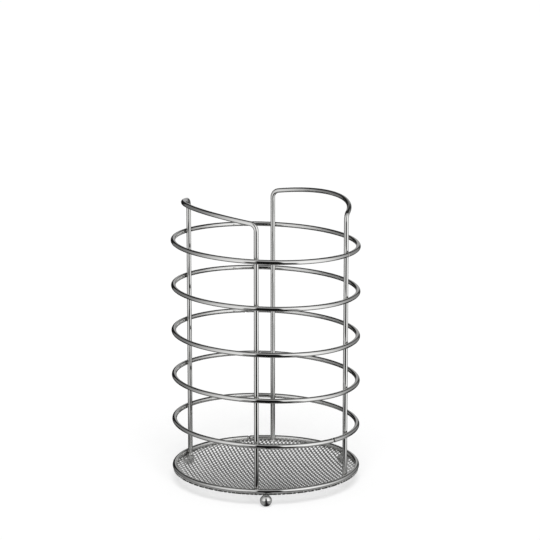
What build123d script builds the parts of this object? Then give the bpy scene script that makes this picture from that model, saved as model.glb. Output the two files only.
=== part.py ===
from build123d import *
import os
from math import atan2, ceil, cos, hypot, radians, sin, tan

# Driving dimensions, in millimetres and degrees. The origin is on the crock's axis at table height,
# +Z is up and -Y is the front, where one of the three feet stands.
wire_diameter = 3.0
wire_sides = 8
hoop_outer_diameter = 120.0
hoop_count = 5
hoop_spacing = 29.1
hoop_lean = 1.95

# Two frames, each a wire bent into two legs under an arched rail
frame_span = 111.1
frame_directions = {"frame_wire_right": 29.7, "frame_wire_left": 208.4}
rail_rise = 22.5
rail_turn = 85.0
rail_tilt = 11.6
bend_radius = 4.5

# Mesh floor of expanded metal, pressed into a shallow dish that is drawn here in flat panels,
# with diamonds larger than the real ones
mesh_inset = 0.5
mesh_thickness = 0.6
mesh_rim_width = 6.0
dish_depth = 4.0
dish_sides = 12
dish_radius_shares = (1.0, 0.66, 0.33)
dish_depth_shares = (0.0, 0.56, 0.89)
diamond_length = 22.0
diamond_width = 9.0
strand_width = 1.6
mesh_direction = 81.0

# Ball feet, welded under the mesh in line with the base ring
foot_count = 3
foot_diameter = 7.5
foot_sides = 8
foot_direction = -90.0

# Heights and radii that follow from the sizes above; the legs stand inside the leaning hoops
wire_radius = wire_diameter / 2
wire_flat_width = wire_diameter * tan(radians(180 / wire_sides))
hoop_radius = hoop_outer_diameter / 2 - wire_radius
hoop_inner_reach = (hoop_radius - wire_radius) * cos(radians(hoop_lean))
leg_outer_reach = hoop_inner_reach - wire_flat_width / 2 * sin(radians(hoop_lean))
leg_circle_radius = leg_outer_reach - wire_radius
foot_radius = foot_diameter / 2
mesh_top = foot_diameter + mesh_thickness
base_ring_height = mesh_top + wire_radius
top_hoop_height = base_ring_height + hoop_count * hoop_spacing
rail_end_height = top_hoop_height + rail_rise
mesh_radius = hoop_outer_diameter / 2 - mesh_inset
dish_radius = mesh_radius - mesh_rim_width


def wire_section():
    """The wire's outline, with a flat side facing each way that another wire is welded on."""
    half_side_turn = 360 / wire_sides / 2
    return RegularPolygon(wire_radius, wire_sides, major_radius=False, rotation=half_side_turn)


def wire_ring(height):
    """A closed hoop of wire about the crock's axis."""
    outline = Plane.XZ * Pos(hoop_radius, 0) * wire_section()
    return Pos(0, 0, height) * revolve(outline, Axis.Z)


def hoop(number):
    """One of the hoops round the legs, numbered from the top, which lean down to the right."""
    height = base_ring_height + (hoop_count + 1 - number) * hoop_spacing
    return Pos(0, 0, height) * Rot(0, hoop_lean, 0) * wire_ring(0)


def frame_wire():
    """One frame facing +X: a leg, a bend, the arched rail, a bend and the other leg."""
    half_span = radians(frame_span / 2)
    half_turn = radians(rail_turn / 2)
    tilt = radians(rail_tilt)
    leg_x = leg_circle_radius * cos(half_span)
    leg_y = leg_circle_radius * sin(half_span)

    # The rail leaves each leg in a plane that tilts up and outwards, so its middle stands highest.
    outward = Vector(cos(tilt), 0, sin(tilt))
    along = Vector(0, 1, 0)
    start_way = along * cos(half_turn) + outward * sin(half_turn)
    bend_turn = start_way.get_angle(Vector(0, 0, 1))
    bend_reach = bend_radius * tan(radians(bend_turn / 2))
    rail_radius = (leg_y - bend_reach * cos(half_turn)) / sin(half_turn)
    rail_bulge = bend_reach * sin(half_turn) + rail_radius * (1 - cos(half_turn))

    corner = Vector(leg_x, -leg_y, rail_end_height)
    leg_foot = Vector(leg_x, -leg_y, mesh_top)
    leg_top = corner - Vector(0, 0, bend_reach)
    rail_start = corner + start_way * bend_reach
    rail_middle = Vector(leg_x, 0, rail_end_height) + outward * rail_bulge

    def far_side(point):
        return Vector(point.X, -point.Y, point.Z)

    leg = Line(leg_foot, leg_top)
    bend = TangentArc(leg_top, rail_start, tangent=(0, 0, 1))
    rail = ThreePointArc(rail_start, rail_middle, far_side(rail_start))
    far_bend = TangentArc(far_side(rail_start), far_side(leg_top), tangent=rail % 1)
    far_leg = Line(far_side(leg_top), far_side(leg_foot))
    path = leg + bend + rail + far_bend + far_leg
    outline = Plane(leg_foot, x_dir=(leg_x, -leg_y, 0), z_dir=(0, 0, 1)) * wire_section()
    # Each stretch keeps its own faces, so the wire also builds at other sizes.
    return sweep(outline, path=path, clean=False)


def gap_reach():
    """Half the length and half the width of a gap between four strands of the mesh."""
    half_angle = atan2(diamond_width, diamond_length)
    long_reach = (diamond_length - strand_width / sin(half_angle)) / 2
    short_reach = (diamond_width - strand_width / cos(half_angle)) / 2
    return long_reach, short_reach


def mesh_gap_places():
    """Centres of the staggered gaps that lie whole inside the rim."""
    long_reach, short_reach = gap_reach()
    rows = ceil(hoop_outer_diameter / diamond_width)
    columns = ceil(hoop_outer_diameter / diamond_length)
    places = []
    for row in range(-rows, rows + 1):
        for column in range(-columns, columns + 1):
            if (row + column) % 2:
                continue
            x = column * diamond_length / 2
            y = row * diamond_width / 2
            farthest = max(hypot(abs(x) + long_reach, y), hypot(x, abs(y) + short_reach))
            if farthest < dish_radius:
                places.append((x, y))
    return places


def dish(top):
    """The hollow of the dish below a given height: crossed troughs of one outline leave flat panels."""
    side_turn = 360 / dish_sides
    panel_radius = dish_radius * cos(radians(side_turn / 2))
    slope = [
        (panel_radius * radius_share, -dish_depth * depth_share)
        for radius_share, depth_share in zip(dish_radius_shares, dish_depth_shares)
    ]
    other_slope = [(-x, z) for x, z in reversed(slope)]
    trough = extrude(Plane.XZ * Polygon(*slope, *other_slope, align=None), dish_radius, both=True)
    hollow = trough
    for side in range(1, dish_sides // 2):
        hollow &= Rot(0, 0, side * side_turn) * trough
    return Pos(0, 0, top) * hollow


def mesh_floor():
    """The holed sheet under the base ring, with a whole flat rim that the ring and the legs stand on."""
    long_reach, short_reach = gap_reach()
    corners = ((long_reach, 0), (0, short_reach), (-long_reach, 0), (0, -short_reach))
    gap = Polygon(*corners, align=None)
    gaps = Rot(0, 0, mesh_direction) * (Sketch() + [Pos(x, y) * gap for x, y in mesh_gap_places()])
    rim = Pos(0, 0, foot_diameter) * extrude(Circle(mesh_radius), mesh_thickness)
    sheet = rim + dish(foot_diameter) - dish(mesh_top)
    return sheet - Pos(0, 0, foot_diameter - dish_depth) * extrude(gaps, dish_depth + mesh_thickness)


def foot():
    """A ball standing on the table, with a flat on top for its weld to the mesh."""
    half_side_turn = 360 / foot_sides / 2
    ball = RegularPolygon(foot_radius, foot_sides, major_radius=False, rotation=half_side_turn)
    half = Rectangle(foot_diameter, foot_diameter, align=(Align.MIN, Align.CENTER))
    return Pos(0, 0, foot_radius) * revolve(Plane.XZ * (ball & half), Axis.Z)


parts = {}
for number in range(1, hoop_count + 1):
    parts[f"hoop_{number}"] = hoop(number)
parts["base_ring"] = wire_ring(base_ring_height)

for name, direction in frame_directions.items():
    parts[name] = Rot(0, 0, direction) * frame_wire()

parts["mesh_floor"] = mesh_floor()

for place, name in enumerate(("foot_front", "foot_right", "foot_left")):
    turn = foot_direction + place * 360 / foot_count
    parts[name] = Rot(0, 0, turn) * Pos(hoop_radius, 0, 0) * foot()

os.makedirs("parts", exist_ok=True)
for name, solid in parts.items():
    export_step(solid, f"parts/{name}.step")
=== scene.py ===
import math
import random

import bmesh
import bpy
from mathutils import Matrix, Vector


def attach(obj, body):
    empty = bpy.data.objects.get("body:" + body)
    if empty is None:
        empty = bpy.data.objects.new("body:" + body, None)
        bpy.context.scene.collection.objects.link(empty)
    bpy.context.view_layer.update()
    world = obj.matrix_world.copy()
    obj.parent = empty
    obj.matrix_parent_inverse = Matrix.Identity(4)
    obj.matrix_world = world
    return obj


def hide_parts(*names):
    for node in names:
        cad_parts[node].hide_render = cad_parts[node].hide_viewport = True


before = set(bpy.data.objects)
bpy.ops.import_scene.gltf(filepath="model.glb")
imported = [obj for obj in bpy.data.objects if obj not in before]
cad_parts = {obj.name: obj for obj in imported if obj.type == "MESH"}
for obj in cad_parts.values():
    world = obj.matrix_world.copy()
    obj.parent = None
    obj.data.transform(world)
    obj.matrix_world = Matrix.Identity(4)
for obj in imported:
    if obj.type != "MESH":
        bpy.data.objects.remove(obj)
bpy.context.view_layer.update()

# Sizes in metres, angles in degrees, as in the solids. -Y is the front.
mm = 0.001
wire_radius = 1.5 * mm
hoop_radius = 58.5 * mm
hoop_count = 5
hoop_spacing = 29.1 * mm
hoop_lean = 1.95
leg_circle_radius = 55.45 * mm
frame_span = 111.1
frame_directions = {"frame_wire_right": 29.7, "frame_wire_left": 208.4}
leg_directions = [way + side * frame_span / 2 for way in frame_directions.values() for side in (-1, 1)]
rail_rise = 22.5 * mm
rail_turn = 85.0
rail_tilt = 11.6
bend_radius = 4.5 * mm
foot_radius = 3.75 * mm
foot_directions = {"foot_front": -90.0, "foot_right": 30.0, "foot_left": 150.0}
mesh_thickness = 0.6 * mm
mesh_bottom = 2 * foot_radius
mesh_top = mesh_bottom + mesh_thickness
base_ring_height = mesh_top + wire_radius
rail_end_height = base_ring_height + hoop_count * hoop_spacing + rail_rise

# The round wires are a hair thinner than the solids, so that they stay inside the solids' box.
round_radius = 1.494 * mm

# Butt weld of each ring: its direction, its groove and the soft lip on each side of the groove
ring_seams = {
    "hoop_1": -31.0,
    "hoop_2": 97.0,
    "hoop_3": 103.0,
    "hoop_4": 95.0,
    "hoop_5": -44.1,
    "base_ring": 101.0,
}
groove_depth = 0.50 * mm
groove_reach = 0.5 * mm
lip_height = 0.06 * mm
lip_distance = 1.2 * mm
lip_reach = 0.3 * mm
seam_heat_reach = 0.8 * mm

# Welds where the rings cross the legs: the metal squeezed out, its lobes and its waist
weld_heat_reach = 2.4 * mm
collar_reach = 1.0 * mm
collar_wide_lobe = 0.13
collar_small_lobe = 0.08
collar_waist = 0.16
collar_phase_limit = 6.28

# Expanded mesh: its diamonds, its strands, the dish, and the rim that the base ring presses on
mesh_radius = 59.5 * mm
mesh_direction = 82.8
diamond_long = 6.65 * mm
diamond_short = 2.61 * mm
strand_width = 0.64 * mm
strand_rise = 0.25 * mm
strand_thickness = 0.8 * mesh_thickness
corner_fullness = 0.93
edge_fullness = 1.03
dish_radius = 54.0 * mm
dish_depth = 4.0 * mm
flat_strand_reach = 4 * mm
pressed_from = 56 * mm
pressed_over = 2.5 * mm
pressed_share = 0.4

# Weld under the mesh on each ball foot, as shares of the ball's radius
foot_weld_height = 0.93
foot_weld_width = 0.367
foot_weld_ripple = 0.02

# Mesh density
wire_sides = 24
hoop_segments = 300
seam_half_length = 2.2 * mm
seam_segments = 30
leg_step = 1.0 * mm
bend_segments = 14
rail_segments = 72
collar_sides = 28
collar_steps = 5
points_per_strand = 4
join_distance = 0.01 * mm
rim_cuts = 120
rim_share = 0.93
ball_segments = 48
ball_rings = 32


def clamp(value, low, high):
    return max(low, min(high, value))


def falloff(distance, reach):
    """1 at no distance, falling smoothly on both sides."""
    return math.exp(-((distance / reach) ** 2))


def ease(value, low, high):
    """0 up to a low value and 1 from a high one, with a smooth rise between them."""
    share = clamp((value - low) / (high - low), 0.0, 1.0)
    return share * share * (3 - 2 * share)


def blend(first, second, share):
    return first * (1 - share) + second * share


def circle_turns(count):
    """Angles in radians, evenly spaced round a circle."""
    return [2 * math.pi * k / count for k in range(count)]


def level_way(turn):
    """The level direction at an angle in radians round the crock's axis."""
    return Vector((math.cos(turn), math.sin(turn), 0))


def add_object(name, vertices, faces, material):
    mesh = bpy.data.meshes.new(name)
    mesh.from_pydata(vertices, [], faces)
    mesh.materials.append(material)
    piece = bpy.data.objects.new(name, mesh)
    bpy.context.scene.collection.objects.link(piece)
    return piece


def add_piece(name, vertices, faces, material, uvs=None, heat=None):
    """Makes a smooth-shaded mesh object that rides on the crock."""
    piece = add_object(name, vertices, faces, material)
    mesh = piece.data
    mesh.validate()
    for polygon in mesh.polygons:
        polygon.use_smooth = True
    if uvs is not None:
        layer = mesh.uv_layers.new(name="along_wire")
        for loop in mesh.loops:
            layer.data[loop.index].uv = uvs[loop.vertex_index]
    if heat is not None:
        attribute = mesh.attributes.new("weld_heat", "FLOAT", "POINT")
        attribute.data.foreach_set("value", heat)
    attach(piece, "root")
    return piece


# Materials
def add_node(nodes, kind, inputs=None):
    """A new node with some of its inputs set, by name or by number."""
    node = nodes.new(kind)
    for key, value in (inputs or {}).items():
        node.inputs[key].default_value = value
    return node


def node_material(name):
    material = bpy.data.materials.new(name)
    material.use_nodes = True
    nodes = material.node_tree.nodes
    return material, nodes, material.node_tree.links, nodes["Principled BSDF"]


def chrome(name, colour, roughness, along_wire=False):
    """Plating with faint drawing lines or grain, soft waves, and duller, darker metal at the welds."""
    material, nodes, links, shader = node_material(name)
    shader.inputs["Metallic"].default_value = 1.0
    coordinates = nodes.new("ShaderNodeTexCoord")
    heat = nodes.new("ShaderNodeAttribute")
    heat.attribute_name = "weld_heat"

    # Long narrow lines along a wire, or an even grain elsewhere
    stretch = nodes.new("ShaderNodeMapping")
    if along_wire:
        stretch.inputs["Scale"].default_value = (0.15, 40.0, 1.0)
        links.new(coordinates.outputs["UV"], stretch.inputs["Vector"])
    else:
        stretch.inputs["Scale"].default_value = (900.0, 900.0, 900.0)
        links.new(coordinates.outputs["Object"], stretch.inputs["Vector"])
    lines = add_node(nodes, "ShaderNodeTexNoise", {"Scale": 1.0, "Detail": 3.0})
    links.new(stretch.outputs["Vector"], lines.inputs["Vector"])
    waves = add_node(nodes, "ShaderNodeTexNoise", {"Scale": 140.0, "Detail": 2.0})
    links.new(coordinates.outputs["Object"], waves.inputs["Vector"])

    spread = {"To Min": roughness * 0.7, "To Max": roughness * 1.5}
    line_rough = add_node(nodes, "ShaderNodeMapRange", spread)
    links.new(lines.outputs["Fac"], line_rough.inputs["Value"])
    weld_roughness = 0.22
    weld_rough = add_node(nodes, "ShaderNodeMath", {1: weld_roughness})
    weld_rough.operation = "MULTIPLY_ADD"
    links.new(heat.outputs["Fac"], weld_rough.inputs[0])
    links.new(line_rough.outputs["Result"], weld_rough.inputs[2])
    links.new(weld_rough.outputs["Value"], shader.inputs["Roughness"])

    weld_tint = (0.20, 0.19, 0.18)
    weld_colour = [channel * tint for channel, tint in zip(colour, weld_tint)]
    tone = add_node(nodes, "ShaderNodeMixRGB", {"Color1": (*colour, 1), "Color2": (*weld_colour, 1)})
    links.new(heat.outputs["Fac"], tone.inputs["Fac"])
    links.new(tone.outputs["Color"], shader.inputs["Base Color"])

    ripple = add_node(nodes, "ShaderNodeBump", {"Strength": 0.10, "Distance": 0.12 * mm})
    links.new(waves.outputs["Fac"], ripple.inputs["Height"])
    drawn = add_node(nodes, "ShaderNodeBump", {"Strength": 0.03, "Distance": 0.02 * mm})
    links.new(lines.outputs["Fac"], drawn.inputs["Height"])
    links.new(ripple.outputs["Normal"], drawn.inputs["Normal"])
    links.new(drawn.outputs["Normal"], shader.inputs["Normal"])
    return material


wire_chrome = chrome("wire_chrome", colour=(0.64, 0.64, 0.63), roughness=0.025, along_wire=True)
mesh_chrome = chrome("mesh_chrome", colour=(0.82, 0.82, 0.81), roughness=0.26)
ball_chrome = chrome("ball_chrome", colour=(0.64, 0.64, 0.63), roughness=0.02)
weld_metal = chrome("weld_metal", colour=(0.50, 0.49, 0.47), roughness=0.3)


# Wires
def heat_at(point, welds):
    """1 on a weld spot, falling to 0 at its reach."""
    nearest = min((point - weld).length for weld in welds)
    return max(0.0, 1.0 - nearest / weld_heat_reach)


def wire_from_rings(name, rings, lengths, closed, welds):
    """Skins rings of points, each wire_sides long, into one wire with UVs in millimetres."""
    vertices, uvs, heat, faces = [], [], [], []
    for ring, length in zip(rings, lengths):
        seam_heat = falloff(length, seam_heat_reach) if closed else 0.0
        for side, point in enumerate(ring):
            vertices.append(point)
            uvs.append((length / mm, side / wire_sides))
            heat.append(max(heat_at(point, welds), seam_heat))
    count = len(rings)
    for row in range(count if closed else count - 1):
        after = (row + 1) % count
        for side in range(wire_sides):
            beside = (side + 1) % wire_sides
            corners = (row, beside), (after, beside), (after, side), (row, side)
            faces.append([r * wire_sides + s for r, s in corners])
    if not closed:
        faces.append(list(range(wire_sides)))
        faces.append([(count - 1) * wire_sides + s for s in reversed(range(wire_sides))])
    return add_piece(name, vertices, faces, wire_chrome, uvs, heat)


def ring_angles(seam):
    """Angles round a ring, in degrees, closer together at its butt weld."""
    half_angle = math.degrees(seam_half_length / hoop_radius)
    rest = 360 - 2 * half_angle
    angles = [seam - half_angle + 2 * half_angle * k / seam_segments for k in range(seam_segments)]
    angles += [seam + half_angle + rest * k / hoop_segments for k in range(hoop_segments)]
    return angles


def seam_radius(distance):
    """The wire's radius near a butt weld: a shallow groove between two soft lips."""
    groove = groove_depth * falloff(distance, groove_reach)
    lips = lip_height * falloff(abs(distance) - lip_distance, lip_reach)
    return round_radius - groove + lips


def ring_place(height, lean):
    return Matrix.Translation((0, 0, height)) @ Matrix.Rotation(math.radians(lean), 4, "Y")


def wire_ring(name, height, lean, seam, welds):
    """A ring of round wire, closed by a butt weld in the direction of seam."""
    place = ring_place(height, lean)
    rings, lengths = [], []
    for angle in ring_angles(seam):
        outward = level_way(math.radians(angle))
        distance = math.radians(angle - seam) * hoop_radius
        radius = seam_radius(distance)
        ring = []
        for around in circle_turns(wire_sides):
            reach = hoop_radius + radius * math.cos(around)
            ring.append(place @ (outward * reach + Vector((0, 0, radius * math.sin(around)))))
        rings.append(ring)
        lengths.append(distance)
    return wire_from_rings(name, rings, lengths, True, welds)


def frame_path():
    """Points along one frame facing +X: up a leg, over the arched rail and down the other leg."""
    half_span = math.radians(frame_span / 2)
    half_turn = math.radians(rail_turn / 2)
    tilt = math.radians(rail_tilt)
    leg_x = leg_circle_radius * math.cos(half_span)
    leg_y = leg_circle_radius * math.sin(half_span)
    outward = Vector((math.cos(tilt), 0, math.sin(tilt)))
    along = Vector((0, 1, 0))
    upward = Vector((0, 0, 1))
    start_way = along * math.cos(half_turn) + outward * math.sin(half_turn)
    side_way = (start_way - upward * start_way.dot(upward)).normalized()
    bend_turn = start_way.angle(upward)
    bend_reach = bend_radius * math.tan(bend_turn / 2)
    rail_radius = (leg_y - bend_reach * math.cos(half_turn)) / math.sin(half_turn)

    corner = Vector((leg_x, -leg_y, rail_end_height))
    leg_top = corner - upward * bend_reach
    leg_length = leg_top.z - mesh_top
    leg_steps = round(leg_length / leg_step)
    rail_start = corner + start_way * bend_reach
    rail_centre = Vector((rail_start.x, 0, rail_start.z)) - outward * rail_radius * math.cos(half_turn)

    half = [Vector((leg_x, -leg_y, mesh_top + leg_length * k / leg_steps)) for k in range(leg_steps)]
    for k in range(bend_segments):
        turn = bend_turn * k / bend_segments
        rise = upward * bend_radius * math.sin(turn)
        half.append(leg_top + rise + side_way * bend_radius * (1 - math.cos(turn)))
    for k in range(rail_segments // 2):
        turn = half_turn * (1 - 2 * k / rail_segments)
        bulge = outward * rail_radius * math.cos(turn)
        half.append(rail_centre + bulge - along * rail_radius * math.sin(turn))
    middle = rail_centre + outward * rail_radius
    mirrored = [Vector((p.x, -p.y, p.z)) for p in reversed(half)]
    return half + [middle] + mirrored


def frame_wire(name, direction, welds):
    """A round wire swept along the frame's path without twisting."""
    turn = Matrix.Rotation(math.radians(direction), 3, "Z")
    path = [turn @ point for point in frame_path()]
    ways = [(b - a).normalized() for a, b in zip(path[:1] + path[:-1], path[1:] + path[-1:])]
    side_way = turn @ Vector((1, 0, 0))
    rings, lengths, length = [], [], 0.0
    for k, (point, way) in enumerate(zip(path, ways)):
        if k:
            length += (point - path[k - 1]).length
        side_way = (side_way - way * side_way.dot(way)).normalized()
        other_way = way.cross(side_way)
        ring = []
        for around in circle_turns(wire_sides):
            spoke = side_way * math.cos(around) + other_way * math.sin(around)
            ring.append(point + spoke * round_radius)
        rings.append(ring)
        lengths.append(length)
    return wire_from_rings(name, rings, lengths, False, welds)


# Welds between the rings and the legs
def weld_spots(ring_places):
    """Where each ring touches each leg: (point, outward way, ring's way)."""
    spots = []
    for height, lean in ring_places.values():
        place = ring_place(height, lean)
        for direction in leg_directions:
            turn = math.radians(direction)
            outward = level_way(turn)
            on_ring = place @ (outward * hoop_radius)
            contact = Vector((0, 0, on_ring.z)) + outward * (hoop_radius - wire_radius)
            ring_way = place.to_3x3() @ Vector((-math.sin(turn), math.cos(turn), 0))
            spots.append((contact, outward, ring_way))
    return spots


def wire_drop(distance):
    """How far a round wire's surface falls away at a distance from the line where it touches."""
    return wire_radius - math.sqrt(wire_radius**2 - distance**2)


def weld_collar(name, contact, outward, ring_way, seed):
    """The small uneven fillet of metal squeezed out where a ring is welded to a leg."""
    leg_way = Vector((0, 0, 1))
    phase = random.Random(seed).uniform(0, collar_phase_limit)
    vertices = []
    for around in circle_turns(collar_sides):
        wide_lobes = collar_wide_lobe * math.sin(2 * around + phase)
        small_lobes = collar_small_lobe * math.sin(5 * around + 2 * phase)
        reach = collar_reach * (1 + wide_lobes + small_lobes)
        for step in range(collar_steps + 1):
            share = step / collar_steps
            waist = 1 - collar_waist * math.sin(math.pi * share)
            up = reach * waist * math.sin(around)
            across = reach * waist * math.cos(around)
            depth = blend(-wire_drop(across), wire_drop(up), share)
            vertices.append(contact + leg_way * up + ring_way * across + outward * depth)
    faces = []
    for side in range(collar_sides):
        beside = (side + 1) % collar_sides
        for step in range(collar_steps):
            corners = (side, step), (beside, step), (beside, step + 1), (side, step + 1)
            faces.append([s * (collar_steps + 1) + t for s, t in corners])
    return add_piece(name, vertices, faces, weld_metal)


# Mesh floor
def mesh_height(radius):
    """Height of the mesh's middle layer: flat under the ring, dished inside it."""
    middle = mesh_bottom + mesh_thickness / 2
    if radius >= dish_radius:
        return middle
    share = radius / dish_radius
    return middle - dish_depth * (1 - share * share)


def diamond_outlines():
    """One cell's matching points, on the strands' centre lines and round the gap, as (long, short)."""
    half_long, half_short = diamond_long / 2, diamond_short / 2
    half_angle = math.atan2(diamond_short, diamond_long)
    gap_long = half_long - strand_width / 2 / math.sin(half_angle)
    gap_short = half_short - strand_width / 2 / math.cos(half_angle)
    outer, inner = [], []
    corners = ((1, 0), (0, 1), (-1, 0), (0, -1))
    for (start_x, start_y), (end_x, end_y) in zip(corners, corners[1:] + corners[:1]):
        for step in range(points_per_strand):
            share = step / points_per_strand
            x = start_x + (end_x - start_x) * share
            y = start_y + (end_y - start_y) * share
            fullness = edge_fullness if step else corner_fullness
            outer.append((half_long * x, half_short * y))
            inner.append((gap_long * x * fullness, gap_short * y * fullness))
    return outer, inner


def diamond_centres():
    """Centres of the staggered cells that reach the mesh's disc, as (long, short)."""
    columns = math.ceil(mesh_radius / diamond_long) * 2 + 2
    rows = math.ceil(mesh_radius / diamond_short) * 2 + 2
    centres = []
    for row in range(-rows, rows + 1):
        for column in range(-columns, columns + 1):
            centre = (column * diamond_long / 2, row * diamond_short / 2)
            staggered = (row + column) % 2 == 0
            if staggered and math.hypot(*centre) <= mesh_radius + diamond_long / 2:
                centres.append(centre)
    return centres


def gap_share(centre):
    """The strands are pressed wide under the ring, so the gaps shrink there."""
    return 1 - pressed_share * clamp((math.hypot(*centre) - pressed_from) / pressed_over, 0.0, 1.0)


def mesh_point(turn, centre, way, rise):
    """A point of the mesh's middle layer. Strands rise and fall by their tilt, less so near the rim."""
    spot = turn @ Vector((centre[0] + way[0], centre[1] + way[1], 0))
    radius = math.hypot(spot.x, spot.y)
    raised = rise * clamp((dish_radius - radius) / flat_strand_reach, 0.0, 1.0)
    return Vector((spot.x, spot.y, mesh_height(radius) + raised))


def trim_to_disc(mesh):
    """Joins the cells and cuts the mesh round, one short straight cut after the other."""
    work = bmesh.new()
    work.from_mesh(mesh)
    bmesh.ops.remove_doubles(work, verts=work.verts, dist=join_distance)
    for cut in range(rim_cuts):
        way = level_way(2 * math.pi * (cut + 0.5) / rim_cuts)
        near = [v for v in work.verts if v.co.dot(way) > mesh_radius * rim_share]
        edges = {e for v in near for e in v.link_edges}
        rim_faces = {f for v in near for f in v.link_faces}
        near_ends = {v for e in edges for v in e.verts} | set(near)
        geometry = list(near_ends) + list(edges) + list(rim_faces)
        rim = way * mesh_radius
        bmesh.ops.bisect_plane(work, geom=geometry, plane_co=rim, plane_no=way, clear_outer=True)
    work.to_mesh(mesh)
    work.free()


def expanded_mesh(name):
    """The floor of slit and stretched sheet: tilted strands round diamond gaps, pressed into a dish."""
    outer, inner = diamond_outlines()
    count = len(outer)
    turn = Matrix.Rotation(math.radians(mesh_direction), 3, "Z")
    full_tilt_distance = diamond_short / 5
    vertices, faces = [], []
    for centre in diamond_centres():
        base = len(vertices)
        share = gap_share(centre)
        for level in (strand_thickness / 2, -strand_thickness / 2):
            lift = Vector((0, 0, level))
            for way in outer:
                vertices.append(mesh_point(turn, centre, way, 0.0) + lift)
            for way in ((x * share, y * share) for x, y in inner):
                tilt = clamp(way[1] / full_tilt_distance, -1.0, 1.0)
                vertices.append(mesh_point(turn, centre, way, strand_rise * tilt) + lift)
        top_outer, top_inner = base, base + count
        low_outer, low_inner = base + 2 * count, base + 3 * count
        for k in range(count):
            after = (k + 1) % count
            faces.append((top_outer + k, top_outer + after, top_inner + after, top_inner + k))
            faces.append((low_outer + after, low_outer + k, low_inner + k, low_inner + after))
            faces.append((top_inner + k, top_inner + after, low_inner + after, low_inner + k))
    piece = add_piece(name, vertices, faces, mesh_chrome)
    trim_to_disc(piece.data)
    for polygon in piece.data.polygons:
        polygon.use_smooth = False
    return piece


# Feet
def ball(name, direction):
    """A ball foot with the small collar of its weld under the mesh."""
    turn = math.radians(direction)
    centre = Vector((hoop_radius * math.cos(turn), hoop_radius * math.sin(turn), foot_radius))
    vertices = [centre - Vector((0, 0, foot_radius))]
    for ring in range(1, ball_rings):
        height = -math.cos(math.pi * ring / ball_rings)
        reach = math.sqrt(1 - height * height)
        if height > foot_weld_height:
            reach = foot_weld_width + foot_weld_ripple * math.sin(ring * 3)
        for around in circle_turns(ball_segments):
            spoke = Vector((reach * math.cos(around), reach * math.sin(around), height))
            vertices.append(centre + spoke * foot_radius)
    vertices.append(centre + Vector((0, 0, foot_radius)))
    top = len(vertices) - 1
    last = 1 + (ball_rings - 2) * ball_segments
    faces = [(0, 1 + (s + 1) % ball_segments, 1 + s) for s in range(ball_segments)]
    for ring in range(ball_rings - 2):
        low = 1 + ring * ball_segments
        high = low + ball_segments
        for segment in range(ball_segments):
            beside = (segment + 1) % ball_segments
            faces.append((low + segment, low + beside, high + beside, high + segment))
    faces += [(top, last + s, last + (s + 1) % ball_segments) for s in range(ball_segments)]
    return add_piece(name, vertices, faces, ball_chrome)


def crock():
    """Every piece: those that replace a solid, and the weld metal at the crossings."""
    ring_places = {}
    for number in range(1, hoop_count + 1):
        height = base_ring_height + (hoop_count + 1 - number) * hoop_spacing
        ring_places[f"hoop_{number}"] = (height, hoop_lean)
    ring_places["base_ring"] = (base_ring_height, 0.0)
    spots = weld_spots(ring_places)
    welds = [contact for contact, _, _ in spots]

    for node, (height, lean) in ring_places.items():
        ring = wire_ring(f"{node}_wire", height, lean, ring_seams[node], welds)
        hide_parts(node)
    for node, direction in frame_directions.items():
        wire = frame_wire(f"{node}_round", direction, welds)
        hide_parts(node)
    for number, (contact, outward, ring_way) in enumerate(spots):
        collar = weld_collar(f"weld_{number + 1}", contact, outward, ring_way, seed=number)
    mesh_piece = expanded_mesh("mesh_floor_expanded")
    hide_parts("mesh_floor")
    for node, direction in foot_directions.items():
        foot = ball(f"{node}_ball", direction)
        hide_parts(node)


# Floor and lights
floor_radius = 6.0
floor_sides = 96
floor_white_share = 0.6
world_strength = 0.45
overhead_strength = 2.35
overhead_width = 30
overhead_tilt = (35, 3)


def seen_white(nodes, links):
    """1 for what the camera, mirrors and glass see, 0 for light that reaches a dull surface."""
    path = nodes.new("ShaderNodeLightPath")
    seen = path.outputs["Is Camera Ray"]
    for name in ("Is Glossy Ray", "Is Transmission Ray"):
        either = nodes.new("ShaderNodeMath")
        either.operation = "MAXIMUM"
        links.new(seen, either.inputs[0])
        links.new(path.outputs[name], either.inputs[1])
        seen = either.outputs["Value"]
    return seen


def floor():
    """A white floor, part of whose white is its own, and which still shows the crock's shadow."""
    material, nodes, links, shader = node_material("floor_white")
    shader.inputs["Base Color"].default_value = (0.99, 0.99, 0.99, 1)
    shader.inputs["Roughness"].default_value = 1.0
    shader.inputs["Specular IOR Level"].default_value = 0.0
    white = add_node(nodes, "ShaderNodeEmission", {"Color": (1, 1, 1, 1)})
    share = add_node(nodes, "ShaderNodeMath", {1: floor_white_share})
    share.operation = "MULTIPLY"
    mixed = nodes.new("ShaderNodeMixShader")
    links.new(seen_white(nodes, links), share.inputs[0])
    links.new(share.outputs["Value"], mixed.inputs["Fac"])
    links.new(shader.outputs["BSDF"], mixed.inputs[1])
    links.new(white.outputs["Emission"], mixed.inputs[2])
    links.new(mixed.outputs["Shader"], nodes["Material Output"].inputs["Surface"])
    edge = [(floor_radius * math.cos(a), floor_radius * math.sin(a), 0) for a in circle_turns(floor_sides)]
    faces = [(0, 1 + s, 1 + (s + 1) % floor_sides) for s in range(floor_sides)]
    add_object("floor", [(0, 0, 0)] + edge, faces, material)


def world_light():
    """An even world: white where it is seen, dimmer as a light."""
    world = bpy.data.worlds.new("studio")
    world.use_nodes = True
    bpy.context.scene.world = world
    nodes, links = world.node_tree.nodes, world.node_tree.links
    background = nodes["Background"]
    background.inputs["Color"].default_value = (1, 1, 1, 1)
    strength = add_node(nodes, "ShaderNodeMapRange", {"To Min": world_strength, "To Max": 1.0})
    links.new(seen_white(nodes, links), strength.inputs["Value"])
    links.new(strength.outputs["Result"], background.inputs["Strength"])


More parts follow.
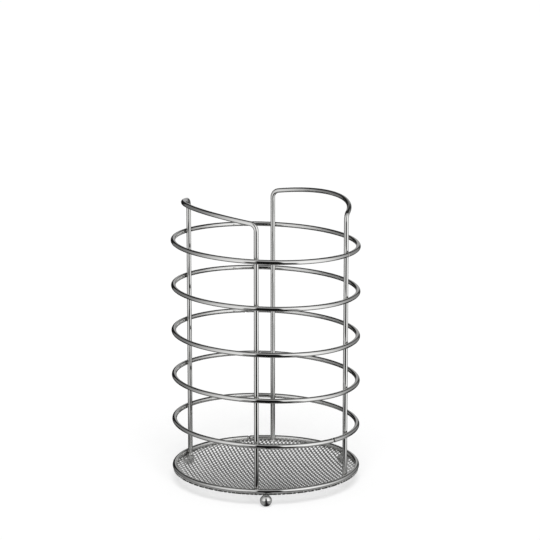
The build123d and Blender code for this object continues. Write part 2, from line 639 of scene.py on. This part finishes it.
def overhead_light():
    """The soft light from above that lays the crock's pale shadow right under it."""
    data = bpy.data.lights.new("overhead", "SUN")
    data.energy = overhead_strength
    data.angle = math.radians(overhead_width)
    piece = bpy.data.objects.new("overhead", data)
    piece.rotation_euler = (math.radians(overhead_tilt[0]), math.radians(overhead_tilt[1]), 0)
    piece.visible_glossy = False
    bpy.context.scene.collection.objects.link(piece)


# Light tent, which only mirror-like surfaces see. Azimuth 0 is towards the camera and 90 to the crock's
# right. An elevation is measured from the tent's middle height, and a depth is an elevation below it.
# A pair of numbers is where a change starts and where it is complete.
tent_middle = 90 * mm
tent_segments = 360
sheet_height = 0.3 * mm
sheet_reaches = (0.002, 0.04, 0.06, 0.067, 0.075, 0.09, 0.12, 0.18, 0.3, 0.5, 0.9)
wall_reach = 0.9
wall_heights = (0.1, 0.15, 0.2, 0.25, 0.3, 0.35, 0.4, 0.5, 0.6)
roof_profile = ((0.84, 0.78), (0.7, 0.94), (0.5, 1.05), (0.25, 1.1), (0.02, 1.11))

# The cloth and the two softboxes behind it
cloth_glow = 0.20
right_softbox = {"glow": 1.15, "centre": 50, "reach": 55}
left_softbox = {"glow": 0.80, "centre": -40, "reach": 48}
ceiling_glow = 0.5
ceiling_rise = (30, 75)
table_dimming = 0.9
table_depths = (20, 50)

# The dark gap between the softboxes, which is wider just below the middle height
gap_left = -11
gap_left_edge = 2
gap_left_slope = 0.10
gap_left_widening = 13
gap_right = 20
gap_right_edge = 3
gap_right_slope = 0.2
gap_right_widening = 14
gap_widening_depths = (3, 7)
gap_narrowing_depths = (30, 38)
gap_end_elevations = (46, 54)
gap_darkness = 0.99

# The back near the middle height: a pale panel with a black flag on each side, and dark above and below
panel_glow = 0.44
panel_left_edge = (169, 174)
panel_right_edge = (159, 165)
flag_left_edge = (141, 150)
flag_right_edge = (146, 152)
flag_right_share = 0.75
flag_darkness = 0.93
back_glow = 0.03
back_azimuth = 145
back_edge = 14
back_widening = 45
back_widening_elevations = (22, 42)
back_widening_depths = (10, 18)
back_elevations = (20, 30)
back_depths = (8, 16)

# The sheet on the table close to the crock, which only the metal sees: painted shade, mid-tone, standing
# in for the crock's shadow on the floor, with a dark line towards the camera
near_glow = 0.02
near_shade_glow = 0.38
near_line_azimuth = 1
near_line_edge = (1, 4)
near_shade_depths = (46, 54)
near_fading_depths = (57, 64)
near_fading = 0.7


def softbox(azimuth, glow, centre, reach):
    """A softbox's light from an azimuth, fading softly to its sides."""
    away = abs((azimuth - centre + 180) % 360 - 180)
    return glow * falloff(away, reach)


def back_shares(azimuth):
    """How much of the pale panel and of the black flags there is at an azimuth."""
    left, right = max(0.0, -azimuth), max(0.0, azimuth)
    panel = ease(left, *panel_left_edge) + ease(right, *panel_right_edge)
    flag = ease(left, *flag_left_edge) + flag_right_share * ease(right, *flag_right_edge)
    return panel, flag * (1 - panel)


def gap_at(azimuth, elevation):
    """How much of the dark gap there is in a direction."""
    depth = max(0, -elevation)
    widening = ease(-elevation, *gap_widening_depths) * (1 - ease(-elevation, *gap_narrowing_depths))
    left = gap_left - gap_left_widening * widening - gap_left_slope * depth
    right = gap_right + gap_right_widening * widening + gap_right_slope * depth
    inside = ease(azimuth, left - gap_left_edge, left + gap_left_edge)
    inside *= 1 - ease(azimuth, right - gap_right_edge, right + gap_right_edge)
    return inside * (1 - ease(elevation, *gap_end_elevations))


def dark_back_at(azimuth, elevation):
    """How much of the dark back, above and below the panel, there is in a direction."""
    above = ease(elevation, *back_widening_elevations)
    below = ease(-elevation, *back_widening_depths)
    start = back_azimuth - back_widening * max(above, below)
    behind = ease(abs(azimuth), start - back_edge, start + back_edge)
    return behind * max(ease(elevation, *back_elevations), ease(-elevation, *back_depths))


def tent_glow(azimuth, elevation):
    """Brightness of the light tent in a direction."""
    panel, flag = back_shares(azimuth)
    glow = cloth_glow + softbox(azimuth, **right_softbox) + softbox(azimuth, **left_softbox)
    glow = blend(glow, panel_glow, panel) * (1 - flag_darkness * flag)
    glow *= 1 - table_dimming * ease(-elevation, *table_depths)
    glow = blend(glow, ceiling_glow, ease(elevation, *ceiling_rise))
    glow = blend(glow, back_glow, dark_back_at(azimuth, elevation))
    glow *= 1 - gap_darkness * gap_at(azimuth, elevation)
    # Painted shade close to the crock: the sheet there glows mid-tone, for the crock's shadow on the floor
    # as the metal sees it
    near = ease(-elevation, *near_shade_depths) * (1 - near_fading * ease(-elevation, *near_fading_depths))
    flank = ease(abs(azimuth - near_line_azimuth), *near_line_edge)
    return blend(glow, near_glow + near_shade_glow * flank, near)


def tent_material():
    """Light as strong as the tent's glow at each point."""
    material, nodes, links, shader = node_material("light_tent")
    nodes.remove(shader)
    emission = nodes.new("ShaderNodeEmission")
    strength = nodes.new("ShaderNodeAttribute")
    strength.attribute_name = "glow"
    links.new(strength.outputs["Fac"], emission.inputs["Strength"])
    links.new(emission.outputs["Emission"], nodes["Material Output"].inputs["Surface"])
    return material


def light_tent():
    """A round tent of cloth over and on the table, lit by two softboxes with a dark gap between them.
    Close to the crock its sheet on the table is painted shade, for the crock's shadow on the floor.
    """
    profile = [(reach, sheet_height) for reach in sheet_reaches]
    profile += [(wall_reach, height) for height in wall_heights]
    profile += roof_profile
    vertices, glow, faces = [], [], []
    for reach, height in profile:
        elevation = math.degrees(math.atan2(height - tent_middle, reach))
        for segment in range(tent_segments):
            azimuth = segment * 360 / tent_segments - 180
            turn = math.radians(azimuth - 90)
            vertices.append((reach * math.cos(turn), reach * math.sin(turn), height))
            glow.append(tent_glow(azimuth, elevation))
    for level in range(len(profile) - 1):
        for segment in range(tent_segments):
            beside = (segment + 1) % tent_segments
            corners = (level, segment), (level, beside), (level + 1, beside), (level + 1, segment)
            faces.append([row * tent_segments + column for row, column in corners])
    piece = add_object("light_tent", vertices, faces, tent_material())
    attribute = piece.data.attributes.new("glow", "FLOAT", "POINT")
    attribute.data.foreach_set("value", glow)
    piece.visible_camera = False
    piece.visible_diffuse = False
    piece.visible_transmission = False
    piece.visible_shadow = False


# Camera, fitted to the rings and the legs: lens in millimetres, place in metres, angles in degrees
camera_lens = 158.14
camera_distance = 1.4633
camera_height = 0.46565
camera_dip = 12.65
camera_turn = -0.104


def camera():
    data = bpy.data.cameras.new("camera")
    data.sensor_fit = "HORIZONTAL"
    data.sensor_width = 36.0
    data.lens = camera_lens
    data.clip_end = 100
    piece = bpy.data.objects.new("camera", data)
    piece.location = (0, -camera_distance, camera_height)
    piece.rotation_euler = (math.radians(90 - camera_dip), 0, math.radians(camera_turn))
    bpy.context.scene.collection.objects.link(piece)
    bpy.context.scene.camera = piece


crock()
floor()
world_light()
overhead_light()
light_tent()
camera()
bpy.context.scene.view_settings.view_transform = "Standard"
